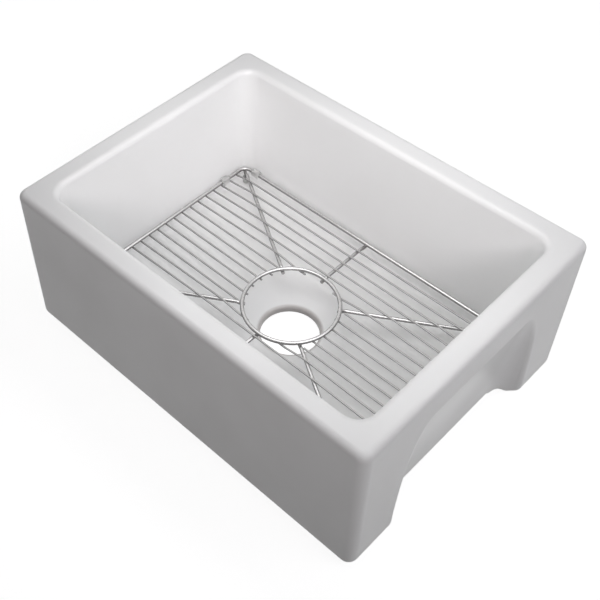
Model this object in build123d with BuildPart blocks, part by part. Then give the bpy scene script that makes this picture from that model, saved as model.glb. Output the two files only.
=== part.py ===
from build123d import *
from math import cos, hypot, pi, radians, sin, sqrt
import os

# Apron-front kitchen sink in glazed fireclay, with a lift-out bottom grid of stainless wire.
# Millimetres. The origin is the middle of the footprint, on the plane that the feet stand on.
# The front apron faces -Y, the drain is on Z, and +Z is up.

os.makedirs("parts", exist_ok=True)

# Basin, outside
sink_width = 616.0
sink_depth = 457.0
sink_height = 251.0
upright_radius = 15.0
rim_outer_radius = 10.0
foot_edge_radius = 14.0

# Bowl
end_wall = 35.5
apron_wall = 35.0
wall_draft = 2.0
bowl_corner_radius = 26.0
rim_inner_radius = 9.0
floor_fillet = 12.0

# Floor of the bowl: a shallow crown that falls to the drain
floor_at_drain = 12.0
floor_fall = 12.0
floor_crown = 1780.0

# Drain
drain_radius = 45.0
drain_lip = 5.0
drain_lower_edge = 1.5
boss_radius = 80.0
boss_clearance = 1.0

# Scooped end walls and the hollow under the bowl
scoop_height = 203.0
scoop_depth = 25.0
scoop_flat = 190.0
scoop_corner = 60.0
scoop_edge = 12.0
underside_height = 20.0
underside_edge = 13.0
lip_overcut = 0.15
underside_run = 185.0
foot_gap = 238.0
foot_slope = 20.0
foot_fillet = 24.0
lip_end = 13.0
lip_fade = 16.0
foot_length = 46.0
apron_foot = 40.0
hollow_corner = 12.0
foot_inner_edge = 5.0

# Bottom grid
frame_wire = 6.0
thin_wire = 3.0
brace_wire = 5.5
frame_end_gap = 14.5
frame_apron_gap = 23.0
frame_corner = 12.0
wire_rows = 18
row_margin = 20.4
ring_rows = 8
ring_margin = 1.72
frame_overhang = 1.0
ring_overhang = 1.0
touch_gap = 0.02
brace_rise = 2.0
brace_lap = 7.0
brace_ramp = 5.0
brace_angle = 38.0

# Grid feet and bumper sleeves
foot_inset = 7.0
foot_radius = 5.0
foot_round = 1.5
foot_height = 13.0
foot_clearance = 0.3
stud_radius = 2.0
stud_depth = 9.0
stud_shoulder = 1.4
bumper_radius = 6.25
bumper_gap = 0.23
bumper_round = 1.5
bumper_row = 7
bumper_from_side = 26.0

half_width = sink_width / 2
half_depth = sink_depth / 2
frame_x = half_width - end_wall - frame_end_gap
frame_y = half_depth - apron_wall - frame_apron_gap
wire_pitch = 2 * (frame_y - row_margin) / (wire_rows - 1)
ring_diameter = ring_rows * wire_pitch + ring_margin
bumper_length = wire_pitch - thin_wire - 2 * bumper_gap
beyond = 30.0
slack = 1.0


def floor_height(r):
    """Height of the bowl's floor at a distance r from the drain's axis."""
    crown_r = drain_radius + floor_crown * sin(radians(floor_fall))
    crown_z = floor_at_drain - floor_crown * cos(radians(floor_fall))
    return crown_z + sqrt(floor_crown**2 - (r - crown_r) ** 2)


def scoop_wall(z):
    """Distance of the scooped end wall from the middle of the sink at a height z."""
    return half_width - scoop_depth * (1 - (z / scoop_height) ** 2)


# Bowl space: drafted walls down to the crowned floor
floor_reach = hypot(half_width, half_depth)
with BuildPart() as bowl_space:
    with BuildSketch(Plane.XY.offset(sink_height)):
        RectangleRounded(sink_width - 2 * end_wall, sink_depth - 2 * apron_wall, bowl_corner_radius)
    extrude(amount=-sink_height, taper=wall_draft)
    with BuildSketch(Plane.XZ):
        with BuildLine():
            ThreePointArc(
                (0, floor_height(0)),
                (floor_reach / 2, floor_height(floor_reach / 2)),
                (floor_reach, floor_height(floor_reach)),
            )
            Polyline(
                (floor_reach, floor_height(floor_reach)),
                (floor_reach, -beyond),
                (0, -beyond),
                (0, floor_height(0)),
            )
        make_face()
    revolve(axis=Axis.Z, mode=Mode.SUBTRACT)
    floor_face = bowl_space.faces().sort_by(Axis.Z)[0]
    fillet(floor_face.edges(), radius=floor_fillet)

# End scoop: one plan outline carried up a shallow arc until it runs out of the end wall
scoop_top = scoop_height + beyond / 3
scoop_middle = (scoop_top - beyond) / 2
with BuildPart() as end_scoop:
    with BuildLine(Plane.XZ) as scoop_rise:
        ThreePointArc(
            (scoop_wall(-beyond), -beyond),
            (scoop_wall(scoop_middle), scoop_middle),
            (scoop_wall(scoop_top), scoop_top),
        )
    with BuildSketch(Plane.XY.offset(-beyond)):
        with BuildLine():
            flat_x = scoop_wall(-beyond)
            flat = Line((flat_x, -scoop_flat / 2), (flat_x, scoop_flat / 2))
            far = JernArc(flat @ 1, (0, 1), scoop_corner, -45)
            near = JernArc(flat @ 0, (0, -1), scoop_corner, 45)
            far_flank = Line(far @ 1, far @ 1 + Vector(beyond * 2, beyond * 2))
            near_flank = Line(near @ 1, near @ 1 + Vector(beyond * 2, -beyond * 2))
            Line(far_flank @ 1, near_flank @ 1)
        make_face()
    sweep(path=scoop_rise.line, normal=Vector(0, 0, 1))

# Rounding where the scooped wall meets the underside, between the legs
lip_top = underside_height + underside_edge
lip_x = scoop_wall(lip_top) + lip_overcut
lip_turn = Vector(sin(radians(45)), cos(radians(45)))
with BuildPart() as end_lip:
    with BuildLine() as lip_path:
        lip_flat = Line((lip_x, -scoop_flat / 2), (lip_x, scoop_flat / 2))
        JernArc(lip_flat @ 1, (0, 1), scoop_corner, -45)
        lip_start = lip_flat @ 0 + Vector(
            scoop_corner * (1 - lip_turn.Y), -scoop_corner * lip_turn.X
        )
        JernArc(lip_start, (-lip_turn.X, lip_turn.Y), scoop_corner, -45)
    lip_plane = Plane(lip_start, x_dir=(-lip_turn.Y, -lip_turn.X), z_dir=(-lip_turn.X, lip_turn.Y))
    with BuildSketch(lip_plane):
        with BuildLine():
            RadiusArc((underside_edge, underside_height), (0, lip_top), underside_edge)
            Polyline(
                (0, lip_top),
                (-underside_edge, lip_top),
                (-underside_edge, underside_height - slack),
                (underside_edge, underside_height - slack),
                (underside_edge, underside_height),
            )
        make_face()
    sweep(path=lip_path.wire())
    with BuildSketch(Plane.YZ):
        Polygon(
            (-foot_gap / 2 + lip_end, underside_height - slack),
            (foot_gap / 2 - lip_end, underside_height - slack),
            (foot_gap / 2 - lip_end - lip_fade, lip_top),
            (-foot_gap / 2 + lip_end + lip_fade, lip_top),
            align=None,
        )
    extrude(amount=half_width, mode=Mode.INTERSECT)

# Boss under the drain: a shallow cone that grows out of the underside
with BuildPart() as drain_boss:
    with BuildSketch(Plane.XZ):
        Polygon(
            (0, boss_clearance),
            (boss_radius, boss_clearance),
            (underside_run, underside_height),
            (underside_run, underside_height + beyond / 3),
            (0, underside_height + beyond / 3),
            align=None,
        )
    revolve(axis=Axis.Z)

# Basin: aprons, end walls and feet in one piece, the bowl, and the drain's throat
inside_depth = half_depth - upright_radius - slack
with BuildPart() as sink_basin:
    with BuildSketch():
        RectangleRounded(sink_width, sink_depth, upright_radius)
    extrude(amount=sink_height)
    add(end_scoop.part, mode=Mode.SUBTRACT)
    add(end_scoop.part.mirror(Plane.YZ), mode=Mode.SUBTRACT)
    scoop_outline = (
        sink_basin.edges()
        .filter_by_position(Axis.Y, -inside_depth, inside_depth)
        .filter_by_position(Axis.Z, slack, scoop_height + slack)
        .filter_by(lambda edge: abs(abs(edge.center().X) - half_width) < touch_gap)
    )
    fillet(scoop_outline, radius=scoop_edge)
    fillet(sink_basin.edges().group_by(Axis.Z)[0], radius=foot_edge_radius)
    fillet(sink_basin.edges().group_by(Axis.Z)[-1], radius=rim_outer_radius)

    # hollow under the bowl, open at both ends between the feet, whose inner sides slope
    with BuildSketch():
        RectangleRounded(
            sink_width - 2 * foot_length, sink_depth - 2 * apron_foot, hollow_corner
        )
    extrude(amount=underside_height, mode=Mode.SUBTRACT)
    with BuildSketch(Plane.YZ):
        Polygon(
            (-foot_gap / 2, underside_height),
            (foot_gap / 2, underside_height),
            (foot_gap / 2 + foot_slope, 0),
            (-foot_gap / 2 - foot_slope, 0),
            align=None,
        )
        fillet(vertices().group_by(Axis.Y)[-1], radius=foot_fillet)
    extrude(amount=half_width, both=True, mode=Mode.SUBTRACT)
    foot_edges = (
        sink_basin.edges()
        .filter_by_position(Axis.Z, -touch_gap, touch_gap)
        .filter_by_position(Axis.Y, -half_depth + apron_foot - slack, half_depth - apron_foot + slack)
        .filter_by(lambda edge: abs(edge.center().X) < half_width - foot_length + hollow_corner)
    )
    fillet(foot_edges, radius=foot_inner_edge)
    add(end_lip.part, mode=Mode.SUBTRACT)
    add(end_lip.part.mirror(Plane.YZ), mode=Mode.SUBTRACT)
    add(drain_boss.part)
    add(bowl_space.part, mode=Mode.SUBTRACT)
    rim_inner_edges = (
        sink_basin.edges()
        .group_by(Axis.Z)[-1]
        .filter_by_position(Axis.Y, -half_depth + apron_wall - slack, half_depth - apron_wall + slack)
    )
    fillet(rim_inner_edges, radius=rim_inner_radius)
    Cylinder(drain_radius, floor_at_drain + beyond, mode=Mode.SUBTRACT)
    drain_edges = sink_basin.edges().filter_by(
        lambda edge: abs(edge.length - 2 * pi * drain_radius) < touch_gap
    )
    fillet(drain_edges.group_by(Axis.Z)[-1], radius=drain_lip)
    drain_bottom = sink_basin.edges().filter_by(
        lambda edge: abs(edge.length - 2 * pi * drain_radius) < touch_gap
    )
    fillet(drain_bottom.group_by(Axis.Z)[0], radius=drain_lower_edge)
sink_basin.part.label = "sink_basin"
export_step(sink_basin.part, "parts/sink_basin.step")


# Bottom grid: heights worked out upward from the floor under the feet
corner_inset = frame_corner * (1 - cos(radians(45)))
brace_start = Vector(cos(radians(brace_angle)), sin(radians(brace_angle))) * (
    (ring_diameter - frame_wire) / 2 - ring_overhang
)
brace_end = Vector(frame_x - corner_inset, frame_y - corner_inset)
brace_way = (brace_end - brace_start).normalized()
foot_place = brace_end - brace_way * foot_inset

foot_bottom = floor_height(foot_place.length + foot_radius) + foot_clearance
foot_top = foot_bottom + foot_height
brace_low = foot_top + stud_shoulder + brace_wire / 2
brace_high = brace_low + brace_rise
frame_z = brace_low + brace_wire / 2 + touch_gap + frame_wire / 2
wire_low = frame_z - frame_wire / 2 - touch_gap - thin_wire / 2
wire_high = brace_high + brace_wire / 2 + touch_gap + thin_wire / 2


def save(part, name):
    """Name a finished piece and write it to its own file."""
    part.label = name
    export_step(part, f"parts/{name}.step")


def bent_wire(points, diameter):
    """A round wire along straight runs, mitred where it bends."""
    with BuildPart() as wire:
        with BuildLine() as run:
            Polyline(*points)
        with BuildSketch(Plane(origin=run.line @ 0, z_dir=run.line % 0)):
            Circle(diameter / 2)
        sweep(transition=Transition.RIGHT)
    return wire.part


def brace_points(start, end):
    """Centre line of a brace: laid flat under the ring and the frame, raised in between."""
    way = (end - start).normalized()
    lap = way * brace_lap
    ramp = way * (brace_lap + brace_ramp)
    return [
        start + Vector(0, 0, brace_low),
        start + lap + Vector(0, 0, brace_low),
        start + ramp + Vector(0, 0, brace_high),
        end - ramp + Vector(0, 0, brace_high),
        end - lap + Vector(0, 0, brace_low),
        end + Vector(0, 0, brace_low),
    ]


def over_brace(y):
    """Where a grid wire at a distance y from the middle passes over a diagonal brace."""
    return brace_start.X + (y - brace_start.Y) * brace_way.X / brace_way.Y


def inside_circle(radius, y):
    """Half the chord of a circle at a distance y from its centre."""
    return sqrt(radius**2 - y**2)


def outer_run(y):
    """Grid wire from just inside a diagonal brace, over it, down and out under the frame's side."""
    brace_clear = (brace_wire + thin_wire) / 2 / brace_way.Y
    frame_clear = (frame_wire + thin_wire) / 2
    return [
        (over_brace(y) - brace_clear, wire_high),
        (over_brace(y) + brace_clear, wire_high),
        (frame_x - frame_clear, wire_low),
        (frame_x + frame_overhang, wire_low),
    ]


def half_wire(y):
    """Grid wire from the drain ring out to the frame's side, at a distance y from the middle."""
    inner_end = (inside_circle(brace_start.length, y), wire_low)
    outer_end = (frame_x + frame_overhang, wire_low)
    ring_edge = inside_circle((ring_diameter + frame_wire) / 2, y)
    if over_brace(y) < brace_start.X:
        return [inner_end, outer_end]
    if over_brace(y) < ring_edge:
        side_gap = (brace_wire / 2 + touch_gap) / brace_way.Y
        return [(over_brace(y + thin_wire / 2) + side_gap, wire_low), outer_end]
    return [inner_end, (ring_edge + thin_wire, wire_low)] + outer_run(y)


# Frame: one rounded rectangle of stout wire
with BuildPart() as grid_frame:
    with BuildLine() as outline:
        FilletPolyline(
            (frame_x, -frame_y, frame_z),
            (frame_x, frame_y, frame_z),
            (-frame_x, frame_y, frame_z),
            (-frame_x, -frame_y, frame_z),
            radius=frame_corner,
            close=True,
        )
    with BuildSketch(Plane(origin=outline.line @ 0, z_dir=outline.line % 0)):
        Circle(frame_wire / 2)
    sweep()
save(grid_frame.part, "grid_frame")

# Ring round the drain
with BuildPart() as drain_ring:
    with Locations((0, 0, frame_z)):
        Torus(ring_diameter / 2, frame_wire / 2)
save(drain_ring.part, "drain_ring")

# Thin grid wires, numbered from the front; the ring cuts the middle ones in two
for row in range(wire_rows):
    y = (row - (wire_rows - 1) / 2) * wire_pitch
    name = f"grid_wire_{row + 1:02d}"
    if abs(y) > (ring_diameter + frame_wire) / 2:
        right_run = [(x, y, z) for x, z in outer_run(abs(y))[1:]]
        left_run = [(-x, y, z) for x, y, z in reversed(right_run)]
        save(bent_wire(left_run + right_run, thin_wire), name)
    else:
        save(bent_wire([(x, y, z) for x, z in half_wire(abs(y))], thin_wire), f"{name}_right")
        save(bent_wire([(-x, y, z) for x, z in half_wire(abs(y))], thin_wire), f"{name}_left")

# Braces, feet and bumper sleeves, mirrored from side to side and from front to rear
for front, front_name in ((-1, "front"), (1, "rear")):
    brace = brace_points(Vector(0, brace_start.length), Vector(0, frame_y + frame_overhang))
    save(bent_wire([(0, front * p.Y, p.Z) for p in brace], brace_wire), f"straight_brace_{front_name}")
    for right, side_name in ((-1, "left"), (1, "right")):
        place = f"{front_name}_{side_name}"
        brace = brace_points(brace_start, brace_end)
        mirrored = [(right * p.X, front * p.Y, p.Z) for p in brace]
        save(bent_wire(mirrored, brace_wire), f"diagonal_brace_{place}")

        # stud and foot under the brace, near the frame's corner
        foot_x = right * foot_place.X
        foot_y = front * foot_place.Y
        with BuildPart(Location((foot_x, foot_y, foot_top - stud_depth))) as stud:
            Cylinder(
                stud_radius,
                stud_depth + stud_shoulder - touch_gap,
                align=(Align.CENTER, Align.CENTER, Align.MIN),
            )
        save(stud.part, f"foot_stud_{place}")
        with BuildPart(Location((foot_x, foot_y, foot_bottom))) as foot:
            Cylinder(foot_radius, foot_height, align=(Align.CENTER, Align.CENTER, Align.MIN))
            fillet(foot.edges().filter_by(GeomType.CIRCLE), radius=foot_round)
            with Locations((0, 0, foot_height)):
                Hole(stud_radius + touch_gap, depth=stud_depth + touch_gap)
        save(foot.part, f"rubber_foot_{place}")

        # one sleeve on the frame's side wire and one on its front or rear wire
        beside = Location((right * frame_x, front * bumper_row * wire_pitch, frame_z), (90, 0, 0))
        across = Location((right * (frame_x - bumper_from_side), front * frame_y, frame_z), (0, 90, 0))
        for spot, sleeve_name in ((beside, f"{side_name}_{front_name}"), (across, place)):
            with BuildPart(spot) as sleeve:
                Cylinder(bumper_radius, bumper_length)
                fillet(sleeve.edges().filter_by(GeomType.CIRCLE), radius=bumper_round)
                Hole(frame_wire / 2 + touch_gap)
            save(sleeve.part, f"bumper_{sleeve_name}")
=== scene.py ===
from math import radians

import bpy
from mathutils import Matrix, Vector

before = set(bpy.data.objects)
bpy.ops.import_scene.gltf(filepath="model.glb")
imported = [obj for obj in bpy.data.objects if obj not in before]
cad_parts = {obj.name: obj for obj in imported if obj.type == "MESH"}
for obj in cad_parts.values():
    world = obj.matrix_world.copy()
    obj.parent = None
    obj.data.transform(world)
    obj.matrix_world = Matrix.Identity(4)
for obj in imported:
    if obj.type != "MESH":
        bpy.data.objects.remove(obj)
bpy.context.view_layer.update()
print("frame loaded")


def newMaterial(name):
    material = bpy.data.materials.new(name)
    material.use_nodes = True
    nodes, links = material.node_tree.nodes, material.node_tree.links
    nodes.clear()
    output = nodes.new("ShaderNodeOutputMaterial")
    shader = nodes.new("ShaderNodeBsdfPrincipled")
    links.new(shader.outputs["BSDF"], output.inputs["Surface"])
    return material, nodes, links, shader


def newGroup(name, inputs, outputs):
    group = bpy.data.node_groups.new(name, "ShaderNodeTree")
    for side, sockets in (("INPUT", inputs), ("OUTPUT", outputs)):
        for socket, kind in sockets.items():
            group.interface.new_socket(socket, in_out=side, socket_type="NodeSocket" + kind)
    nodes = group.nodes
    return group, nodes, group.links, nodes.new("NodeGroupInput"), nodes.new("NodeGroupOutput")


# soft patches: a mask from noise, which blends two tones and two roughnesses
mottleLook = {"detail": 4, "noiseRough": 0.55, "maskFrom": 0.3, "maskTo": 0.7}


def buildMottle():
    group, nodes, links, given, result = newGroup(
        "mottle",
        {"Scale": "Float", "Stretch": "Vector", "Tone A": "Color", "Tone B": "Color",
         "Smooth": "Float", "Rough": "Float"},
        {"Colour": "Color", "Roughness": "Float", "Mask": "Float"},
    )
    place = nodes.new("ShaderNodeTexCoord")
    stretch = nodes.new("ShaderNodeVectorMath")
    stretch.operation = "MULTIPLY"
    links.new(place.outputs["Object"], stretch.inputs[0])
    links.new(given.outputs["Stretch"], stretch.inputs[1])
    noise = nodes.new("ShaderNodeTexNoise")
    noise.inputs["Detail"].default_value = mottleLook["detail"]
    noise.inputs["Roughness"].default_value = mottleLook["noiseRough"]
    links.new(stretch.outputs[0], noise.inputs["Vector"])
    links.new(given.outputs["Scale"], noise.inputs["Scale"])
    mask = nodes.new("ShaderNodeMapRange")
    mask.inputs["From Min"].default_value = mottleLook["maskFrom"]
    mask.inputs["From Max"].default_value = mottleLook["maskTo"]
    links.new(noise.outputs["Fac"], mask.inputs["Value"])
    tone = nodes.new("ShaderNodeMix")
    tone.data_type = "RGBA"
    links.new(mask.outputs["Result"], tone.inputs["Factor"])
    links.new(given.outputs["Tone A"], tone.inputs["A"])
    links.new(given.outputs["Tone B"], tone.inputs["B"])
    sheenStep = nodes.new("ShaderNodeMapRange")
    links.new(mask.outputs["Result"], sheenStep.inputs["Value"])
    links.new(given.outputs["Smooth"], sheenStep.inputs["To Min"])
    links.new(given.outputs["Rough"], sheenStep.inputs["To Max"])
    links.new(tone.outputs["Result"], result.inputs["Colour"])
    links.new(sheenStep.outputs["Result"], result.inputs["Roughness"])
    links.new(mask.outputs["Result"], result.inputs["Mask"])
    return group


mottle = buildMottle()


def addMottle(nodes, links, shader, look, stretch=(1, 1, 1)):
    # sets the roughness; its colour and mask are left for the material to use
    patch = nodes.new("ShaderNodeGroup")
    patch.node_tree = mottle
    patch.inputs["Scale"].default_value = look["patchScale"]
    patch.inputs["Stretch"].default_value = stretch
    patch.inputs["Tone A"].default_value = look["toneA"]
    patch.inputs["Tone B"].default_value = look["toneB"]
    patch.inputs["Smooth"].default_value, patch.inputs["Rough"].default_value = look["rough"]
    links.new(patch.outputs["Roughness"], shader.inputs["Roughness"])
    return patch


def addBump(nodes, links, shader, height, look):
    bump = nodes.new("ShaderNodeBump")
    bump.inputs["Strength"].default_value = look["bumpStrength"]
    bump.inputs["Distance"].default_value = look["bumpDepth"]
    links.new(height, bump.inputs["Height"])
    links.new(bump.outputs["Normal"], shader.inputs["Normal"])


# fired glaze: near white, glossy, with a slow unevenness left by the mould
glazeLook = {
    "toneA": (0.965, 0.965, 0.965, 1),  # clean white
    "toneB": (0.942, 0.941, 0.939, 1),  # a little warmer
    "patchScale": 9,
    "rough": (0.34, 0.44),
    "specular": 0.3,
    "coat": 0.25,
    "coatRough": 0.14,
    "waveScale": 22,
    "waveDetail": 1,
    "bumpStrength": 0.35,
    "bumpDepth": 0.0005,
    "drainShade": (0.62, 0.59, 0.58, 1),  # painted shade: the warm grey of the drain's dark throat
    "drainShadeFrom": 0.0465,  # metres from the drain's middle
    "drainShadeTo": 0.052,
}


def drainReach(nodes, links, place):
    # how far a point is from the drain's middle, seen from above
    flat = nodes.new("ShaderNodeVectorMath")
    flat.operation = "MULTIPLY"
    flat.inputs[1].default_value = (1, 1, 0)
    links.new(place.outputs["Object"], flat.inputs[0])
    reach = nodes.new("ShaderNodeVectorMath")
    reach.operation = "LENGTH"
    links.new(flat.outputs["Vector"], reach.inputs[0])
    return reach.outputs["Value"]


def glazeMaterial():
    material, nodes, links, shader = newMaterial("whiteGlaze")
    patch = addMottle(nodes, links, shader, glazeLook)
    shader.inputs["Specular IOR Level"].default_value = glazeLook["specular"]
    shader.inputs["Coat Weight"].default_value = glazeLook["coat"]
    shader.inputs["Coat Roughness"].default_value = glazeLook["coatRough"]
    place = nodes.new("ShaderNodeTexCoord")
    wave = nodes.new("ShaderNodeTexNoise")
    wave.inputs["Scale"].default_value = glazeLook["waveScale"]
    wave.inputs["Detail"].default_value = glazeLook["waveDetail"]
    links.new(place.outputs["Object"], wave.inputs["Vector"])
    addBump(nodes, links, shader, wave.outputs["Fac"], glazeLook)
    # painted shade: round the drain the colour darkens to a warm grey, where the throat lies
    # in shade
    edge = nodes.new("ShaderNodeMapRange")
    edge.interpolation_type = "SMOOTHSTEP"
    edge.inputs["From Min"].default_value = glazeLook["drainShadeFrom"]
    edge.inputs["From Max"].default_value = glazeLook["drainShadeTo"]
    links.new(drainReach(nodes, links, place), edge.inputs["Value"])
    tone = nodes.new("ShaderNodeMix")
    tone.data_type = "RGBA"
    tone.inputs["A"].default_value = glazeLook["drainShade"]
    links.new(edge.outputs["Result"], tone.inputs["Factor"])
    links.new(patch.outputs["Colour"], tone.inputs["B"])
    links.new(tone.outputs["Result"], shader.inputs["Base Color"])
    return material


# drawn stainless wire: the thick ones get a painted highlight, a lighter colour along their
# tops where light from above falls
thickLook = {
    "toneA": (0.40, 0.392, 0.390, 1),
    "toneB": (0.28, 0.275, 0.273, 1),
    # painted highlight: the colour of the tops, where light from above falls
    "paintedLight": (0.58, 0.572, 0.570, 1),
    "patchScale": 900,
    "rough": (0.24, 0.34),
}
thinLook = {
    "toneA": (0.44, 0.432, 0.430, 1),
    "toneB": (0.32, 0.315, 0.313, 1),
    "paintedLight": (0.44, 0.432, 0.430, 1),  # their lighter tone again
    "patchScale": 900,
    "rough": (0.48, 0.58),
}
# how the lines left by drawing run, how deep they are, and which tops get the painted
# highlight
drawnLook = {
    "alongX": (0.02, 1, 1),
    "alongY": (1, 0.02, 1),
    "bent": (0.5, 0.5, 1),
    "paintedLightFrom": 0.6,  # the upward share of the surface's normal
    "paintedLightTo": 0.85,
    "bumpStrength": 0.2,
    "bumpDepth": 0.00005,
}


def buildLitTop():
    # painted highlight: lightens a colour where the surface faces up, as light from above
    # falls on it
    group, nodes, links, given, result = newGroup(
        "paintedLightTop",
        {"Colour": "Color", "LitTop": "Color", "From": "Float", "To": "Float"},
        {"Colour": "Color"},
    )
    facing = nodes.new("ShaderNodeNewGeometry")
    up = nodes.new("ShaderNodeSeparateXYZ")
    links.new(facing.outputs["Normal"], up.inputs[0])
    band = nodes.new("ShaderNodeMapRange")
    band.interpolation_type = "SMOOTHSTEP"
    links.new(up.outputs["Z"], band.inputs["Value"])
    links.new(given.outputs["From"], band.inputs["From Min"])
    links.new(given.outputs["To"], band.inputs["From Max"])
    tone = nodes.new("ShaderNodeMix")
    tone.data_type = "RGBA"
    links.new(band.outputs["Result"], tone.inputs["Factor"])
    links.new(given.outputs["Colour"], tone.inputs["A"])
    links.new(given.outputs["LitTop"], tone.inputs["B"])
    links.new(tone.outputs["Result"], result.inputs["Colour"])
    return group


paintedLightTop = buildLitTop()


def wireMaterial(name, look, stretch):
    # the noise is stretched the way that the wire runs
    material, nodes, links, shader = newMaterial(name)
    patch = addMottle(nodes, links, shader, look, stretch)
    # painted highlight: the base colour is lighter where the wire faces up
    sheenStep = nodes.new("ShaderNodeGroup")
    sheenStep.node_tree = paintedLightTop
    sheenStep.inputs["LitTop"].default_value = look["paintedLight"]
    sheenStep.inputs["From"].default_value = drawnLook["paintedLightFrom"]
    sheenStep.inputs["To"].default_value = drawnLook["paintedLightTo"]
    links.new(patch.outputs["Colour"], sheenStep.inputs["Colour"])
    links.new(sheenStep.outputs["Colour"], shader.inputs["Base Color"])
    shader.inputs["Metallic"].default_value = 1
    addBump(nodes, links, shader, patch.outputs["Mask"], drawnLook)
    return material


# cloudy silicone sleeves on the frame
sleeveLook = {
    "toneA": (0.97, 0.97, 0.965, 1),  # clear
    "toneB": (0.91, 0.91, 0.90, 1),  # cloudy
    "patchScale": 120,
    "rough": (0.28, 0.4),
    "through": 0.85,
    "bend": 1.41,
}


def sleeveMaterial():
    material, nodes, links, shader = newMaterial("clearSilicone")
    patch = addMottle(nodes, links, shader, sleeveLook)
    links.new(patch.outputs["Colour"], shader.inputs["Base Color"])
    shader.inputs["Transmission Weight"].default_value = sleeveLook["through"]
    shader.inputs["IOR"].default_value = sleeveLook["bend"]
    return material


# grey rubber feet under the grid
footLook = {
    "toneA": (0.42, 0.43, 0.41, 1),
    "toneB": (0.50, 0.51, 0.49, 1),
    "patchScale": 300,
    "rough": (0.60, 0.78),
    "bumpStrength": 0.3,
    "bumpDepth": 0.0001,
}


def footMaterial():
    material, nodes, links, shader = newMaterial("greyRubber")
    patch = addMottle(nodes, links, shader, footLook)
    links.new(patch.outputs["Colour"], shader.inputs["Base Color"])
    addBump(nodes, links, shader, patch.outputs["Mask"], footLook)
    return material


glaze = glazeMaterial()
alongX = wireMaterial("steelAlongX", thinLook, drawnLook["alongX"])
alongY = wireMaterial("steelAlongY", thickLook, drawnLook["alongY"])
bent = wireMaterial("steelBent", thickLook, drawnLook["bent"])
sleeve = sleeveMaterial()
foot = footMaterial()

# which finish a node gets, by how its name starts; the rest is bent wire
finishes = {
    "sink_basin": glaze,
    "grid_wire": alongX,
    "straight_brace": alongY,
    "bumper": sleeve,
    "rubber_foot": foot,
}


def finishFor(node):
    for start, finish in finishes.items():
        if node.startswith(start):
            return finish
    return bent


for node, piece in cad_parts.items():
    for slot in piece.material_slots:
        slot.material = finishFor(node)
print("materials on")


# pale card under the sink, large enough to fill the view
floorLook = {
    "card": (0.06, 0.06, 0.06, 1),  # as the light that bounces off it meets it
    "rough": 0.9,
    "size": 14,
    "drop": 0.0005,  # keeps the card clear of the legs' flat ends
    "white": 0.89,
    "shadow": (0.35, 0.35, 0.35, 1),  # a lighter colour shows more shadow
}


def seenRay(nodes, links):
    # one where a ray comes from the camera, a gloss or a clear piece
    rays = nodes.new("ShaderNodeLightPath")
    seen = rays.outputs["Is Camera Ray"]
    for ray in ("Is Glossy Ray", "Is Transmission Ray"):
        either = nodes.new("ShaderNodeMath")
        either.operation = "MAXIMUM"
        links.new(seen, either.inputs[0])
        links.new(rays.outputs[ray], either.inputs[1])
        seen = either.outputs[0]
    return seen


def makeFloor():
    bpy.ops.object.select_all(action="DESELECT")
    place = (0, 0, -floorLook["drop"])
    bpy.ops.mesh.primitive_plane_add(size=floorLook["size"], location=place)
    floor = bpy.context.object
    floor.name = "studioFloor"
    material, nodes, links, shader = newMaterial("paleCard")
    shader.inputs["Base Color"].default_value = floorLook["card"]
    shader.inputs["Roughness"].default_value = floorLook["rough"]
    # seen straight, the card is white and keeps a faint shadow
    white = nodes.new("ShaderNodeEmission")
    white.inputs["Strength"].default_value = floorLook["white"]
    card = nodes.new("ShaderNodeBsdfDiffuse")
    card.inputs["Color"].default_value = floorLook["shadow"]
    seen = nodes.new("ShaderNodeAddShader")
    links.new(white.outputs[0], seen.inputs[0])
    links.new(card.outputs[0], seen.inputs[1])
    mix = nodes.new("ShaderNodeMixShader")
    links.new(seenRay(nodes, links), mix.inputs["Fac"])
    links.new(shader.outputs[0], mix.inputs[1])
    links.new(seen.outputs[0], mix.inputs[2])
    links.new(mix.outputs[0], nodes["Material Output"].inputs["Surface"])
    floor.data.materials.append(material)


# soft boxes over and round the sink, in metres, watts and degrees
lamps = {
    "bowlBox": {
        "place": (0.02, 0.0, 0.6),
        "aim": (0.02, 0.12, 0.1),
        "size": (0.56, 0.24),
        "watts": 1.2,
        "tint": (1, 1, 1),
        "spread": 180,
    },
    "keyBox": {
        "place": (1.6, 0.5, 2.0),
        "aim": (0, 0, 0.1),
        "size": (1.6, 1.6),
        "watts": 12.6,
        "tint": (0.95, 0.96, 1),
        "spread": 180,
    },
    # narrow and aimed high, so that the front apron darkens towards its foot
    "cornerBox": {
        "place": (1.5, -1.5, 1.7),
        "aim": (0.1, 0, 0.8),
        "size": (0.9, 0.9),
        "watts": 2.5,
        "tint": (1, 0.95, 0.962),
        "spread": 50,
    },
    "leftBox": {
        "place": (-2.3, 0.6, 0.9),
        "aim": (0, 0, 0.1),
        "size": (1.4, 1.4),
        "watts": 5.5,
        "tint": (1, 1, 1),
        "spread": 180,
    },
    "rearBox": {
        "place": (-0.3, 2.3, 0.9),
        "aim": (0, 0, 0.1),
        "size": (1.4, 1.4),
        "watts": 5.5,
        "tint": (1, 1, 1),
        "spread": 180,
    },
}


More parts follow.
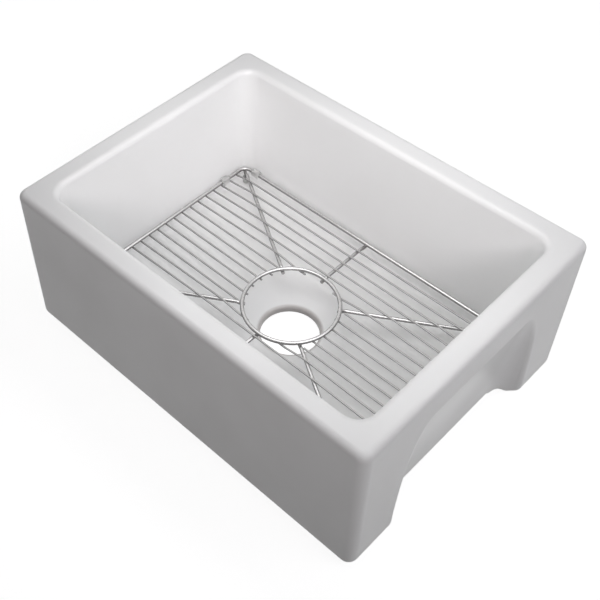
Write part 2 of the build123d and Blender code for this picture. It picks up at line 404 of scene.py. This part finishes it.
def makeLamp(name, lamp):
    light = bpy.data.lights.new(name, "AREA")
    light.shape = "RECTANGLE"
    light.size, light.size_y = lamp["size"]
    light.energy = lamp["watts"]
    light.color = lamp["tint"]
    light.spread = radians(lamp["spread"])
    holder = bpy.data.objects.new(name, light)
    bpy.context.collection.objects.link(holder)
    holder.location = lamp["place"]
    towards = Vector(lamp["aim"]) - Vector(lamp["place"])
    holder.rotation_euler = towards.to_track_quat("-Z", "Y").to_euler()
    holder.visible_camera = False


# a little light from all round, and the white that is seen behind the floor
worldLight = {"colour": (1.0, 1.0, 1.0, 1), "strength": 0.05, "seen": (0.95, 0.95, 0.95, 1)}


def makeWorld():
    world = bpy.data.worlds.new("studioAir")
    bpy.context.scene.world = world
    world.use_nodes = True
    nodes, links = world.node_tree.nodes, world.node_tree.links
    nodes.clear()
    output = nodes.new("ShaderNodeOutputWorld")
    light = nodes.new("ShaderNodeBackground")
    light.inputs["Color"].default_value = worldLight["colour"]
    light.inputs["Strength"].default_value = worldLight["strength"]
    white = nodes.new("ShaderNodeBackground")
    white.inputs["Color"].default_value = worldLight["seen"]
    mix = nodes.new("ShaderNodeMixShader")
    links.new(seenRay(nodes, links), mix.inputs["Fac"])
    links.new(light.outputs[0], mix.inputs[1])
    links.new(white.outputs[0], mix.inputs[2])
    links.new(mix.outputs[0], output.inputs["Surface"])


# where the photograph was taken from, in metres and degrees
view = {
    "place": (0.6137, -0.7206, 1.1735),
    "turn": (42.341, 0.843, 44.432),
    "lens": 59.775,
    "shiftX": 0.1094,
    "shiftY": -0.0429,
    "far": 50,
}


def makeCamera():
    camera = bpy.data.cameras.new("photoCamera")
    camera.lens = view["lens"]
    camera.shift_x = view["shiftX"]
    camera.shift_y = view["shiftY"]
    camera.clip_end = view["far"]
    holder = bpy.data.objects.new("photoCamera", camera)
    bpy.context.collection.objects.link(holder)
    holder.location = view["place"]
    holder.rotation_euler = [radians(angle) for angle in view["turn"]]
    bpy.context.scene.camera = holder


makeFloor()
for name, lamp in lamps.items():
    makeLamp(name, lamp)
makeWorld()
makeCamera()
bpy.context.scene.view_settings.view_transform = "Standard"
print("studio and camera ready")

# each tree's nodes stand in a row, so that they can be read in the editor
nodeGap = 220
builtTrees = [mottle, paintedLightTop]
builtTrees += [finish.node_tree for finish in (glaze, alongX, alongY, bent, sleeve, foot)]
for tree in builtTrees:
    for step, node in enumerate(tree.nodes):
        node.location.x = step * nodeGap
